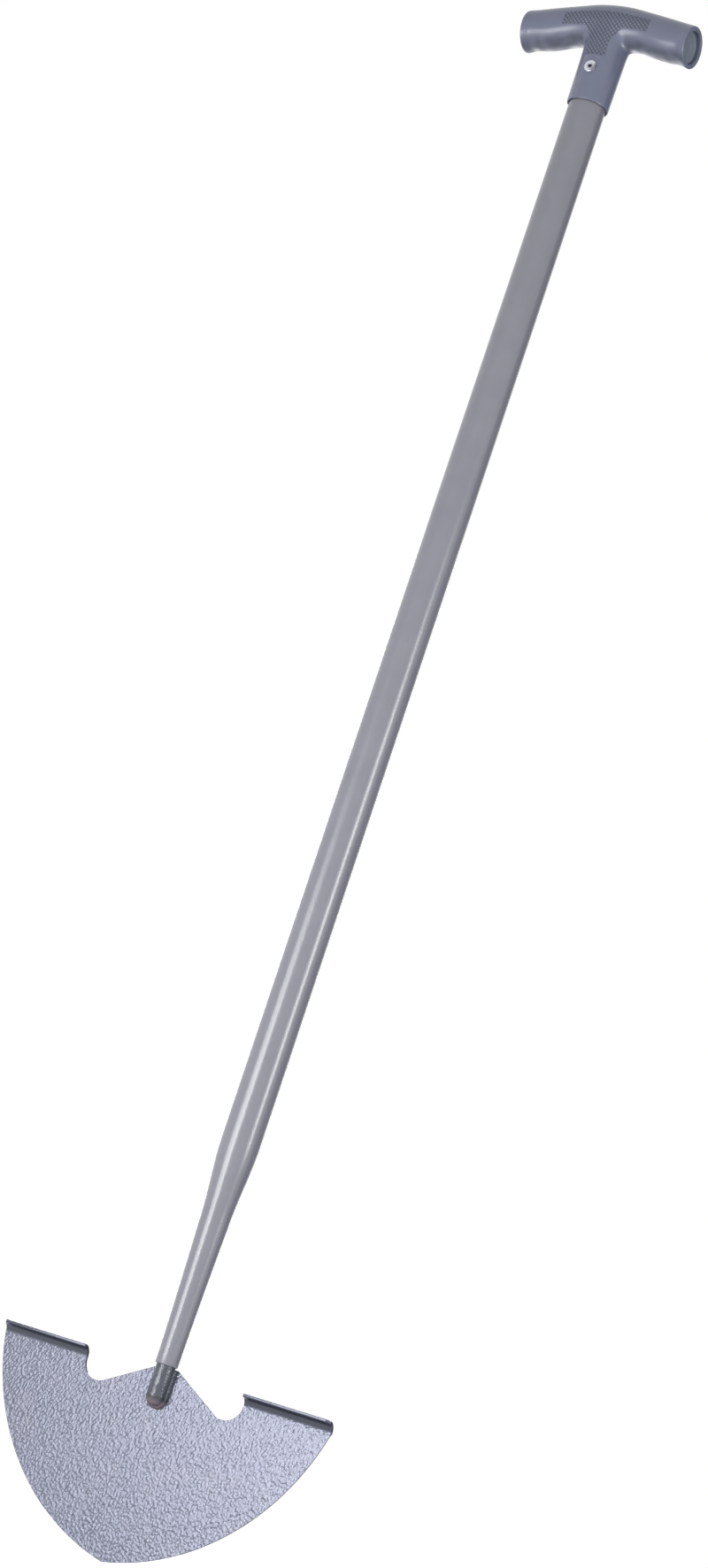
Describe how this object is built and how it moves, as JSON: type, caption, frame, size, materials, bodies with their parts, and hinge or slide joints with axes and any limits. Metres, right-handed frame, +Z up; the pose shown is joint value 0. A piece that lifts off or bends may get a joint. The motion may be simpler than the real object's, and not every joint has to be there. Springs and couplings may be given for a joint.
{
  "type": "half moon edger",
  "caption": "Long-handled lawn edger: a half moon steel blade with turned treads, welded to a tang, on a swaged tube shaft with a moulded T grip.",
  "frame": {"origin": "the point of the blade, straight below the shaft's axis, with the tool upright", "axes": "+Z up along the shaft's axis towards the grip, +X to the right along the grip's arms, -Y to the front, the side of the tang, the treads and the rivet"},
  "size_m": [0.229, 0.0296, 1.0206],
  "materials": {
    "hammered_paint": "silver hammered paint on sheet steel",
    "tang_paint": "dark grey gloss paint on steel bar and weld",
    "shaft_paint": "grey satin paint on steel tube",
    "grip_plastic": "blue-grey satin moulding with a knurled patch",
    "plug_plastic": "grey matte moulding",
    "rivet_aluminium": "bright",
    "rivet_steel": "broken stem, dull"
  },
  "bodies": {
    "root": {"blade": "hammered_paint", "tang": "tang_paint", "tang_weld": "tang_paint", "shaft_tube": "shaft_paint", "grip_body": "grip_plastic", "end_plug_left": "plug_plastic", "end_plug_right": "plug_plastic", "rivet_body": "rivet_aluminium", "rivet_mandrel": "rivet_steel"}
  },
  "joints": []
}
